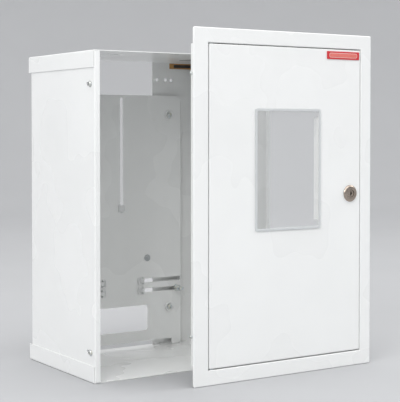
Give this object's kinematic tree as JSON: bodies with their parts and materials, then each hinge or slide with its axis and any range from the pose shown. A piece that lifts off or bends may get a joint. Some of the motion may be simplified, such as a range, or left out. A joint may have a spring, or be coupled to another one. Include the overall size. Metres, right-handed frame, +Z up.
{
  "type": "standpipe cabinet",
  "caption": "Recessed sheet-steel standpipe cabinet: open wall box with a slotted mounting plate, and its flanged front frame with a hinged, lockable, windowed door stood beside it.",
  "frame": {"origin": "centre of the box's base, on the surface it stands on", "axes": "+Z up, the box's open front faces -Y, +X to the right seen from the front"},
  "size_m": [0.454, 0.3354, 0.532],
  "materials": {
    "white_enamel": "smooth satin powder coat",
    "zinc_steel": "bright zinc plate",
    "nickel": "polished nickel plate",
    "clear_acrylic": "clear, polished",
    "grey_nylon": "moulded, satin",
    "red_label": "printed, gloss"
  },
  "bodies": {
    "box": {"bottom_cap": "white_enamel", "top_cap": "white_enamel", "side_left": "white_enamel", "side_right": "white_enamel", "rear_rail_left": "white_enamel", "rear_rail_right": "white_enamel", "mounting_plate": "white_enamel", "hole_plug_left": "grey_nylon", "hole_plug_right": "grey_nylon", "plate_screw_left_lower": "zinc_steel", "plate_screw_left_upper": "zinc_steel", "plate_screw_right_lower": "zinc_steel", "plate_screw_right_upper": "zinc_steel", "plate_nut_left_lower": "zinc_steel", "plate_nut_left_upper": "zinc_steel", "plate_nut_right_lower": "zinc_steel", "plate_nut_right_upper": "zinc_steel", "side_screw_left_lower": "zinc_steel", "side_screw_left_upper": "zinc_steel", "side_screw_right_lower": "zinc_steel", "side_screw_right_upper": "zinc_steel"},
    "frame": {"frame_rim": "white_enamel", "lock_keeper": "zinc_steel", "hinge_pin_lower": "zinc_steel", "hinge_pin_upper": "zinc_steel", "neck_screw_left_lower": "zinc_steel", "neck_screw_left_upper": "zinc_steel", "neck_screw_right_lower": "zinc_steel", "neck_screw_right_upper": "zinc_steel"},
    "door": {"door_leaf": "white_enamel", "name_plate": "red_label", "window_pane": "clear_acrylic", "window_rim": "clear_acrylic", "lock_housing": "nickel", "lock_nut": "zinc_steel"},
    "lock": {"lock_plug": "nickel", "lock_cam": "zinc_steel", "cam_screw": "zinc_steel"},
    "hanger_slider": {"slider_hanger": "grey_nylon"},
    "slider_left_upper": {"slider_left_upper": "grey_nylon"},
    "slider_left_lower": {"slider_left_lower": "grey_nylon"},
    "slider_right_upper": {"slider_right_upper": "grey_nylon"},
    "slider_right_lower": {"slider_right_lower": "grey_nylon"},
    "clamp": {"clamp_bolt": "zinc_steel", "wing_nut": "zinc_steel"}
  },
  "joints": [
    {"name": "frame_slide", "type": "slide", "parent": "box", "child": "frame", "axis": [0, -1, 0], "range_m": [-0.05, 0.1]},
    {"name": "door_hinge", "type": "hinge", "parent": "frame", "child": "door", "pos_m": [-0.0214, -0.214, 0.266], "axis": [0, 0, -1], "range_deg": [0, 110]},
    {"name": "lock_turn", "type": "hinge", "parent": "door", "child": "lock", "pos_m": [0.2443, -0.218, 0.2785], "axis": [0, 1, 0], "range_deg": [0, 90]},
    {"name": "hanger_slide", "type": "slide", "parent": "box", "child": "hanger_slider", "axis": [0, 0, 1], "range_m": [0, 0.18]},
    {"name": "slide_left_upper", "type": "slide", "parent": "box", "child": "slider_left_upper", "axis": [-1, 0, 0], "range_m": [0, 0.07]},
    {"name": "slide_left_lower", "type": "slide", "parent": "box", "child": "slider_left_lower", "axis": [-1, 0, 0], "range_m": [0, 0.07]},
    {"name": "slide_right_upper", "type": "slide", "parent": "box", "child": "slider_right_upper", "axis": [1, 0, 0], "range_m": [0, 0.07]},
    {"name": "slide_right_lower", "type": "slide", "parent": "box", "child": "slider_right_lower", "axis": [1, 0, 0], "range_m": [0, 0.03]},
    {"name": "clamp_slide", "type": "slide", "parent": "box", "child": "clamp", "axis": [1, 0, 0], "range_m": [-0.02, 0.004]}
  ]
}
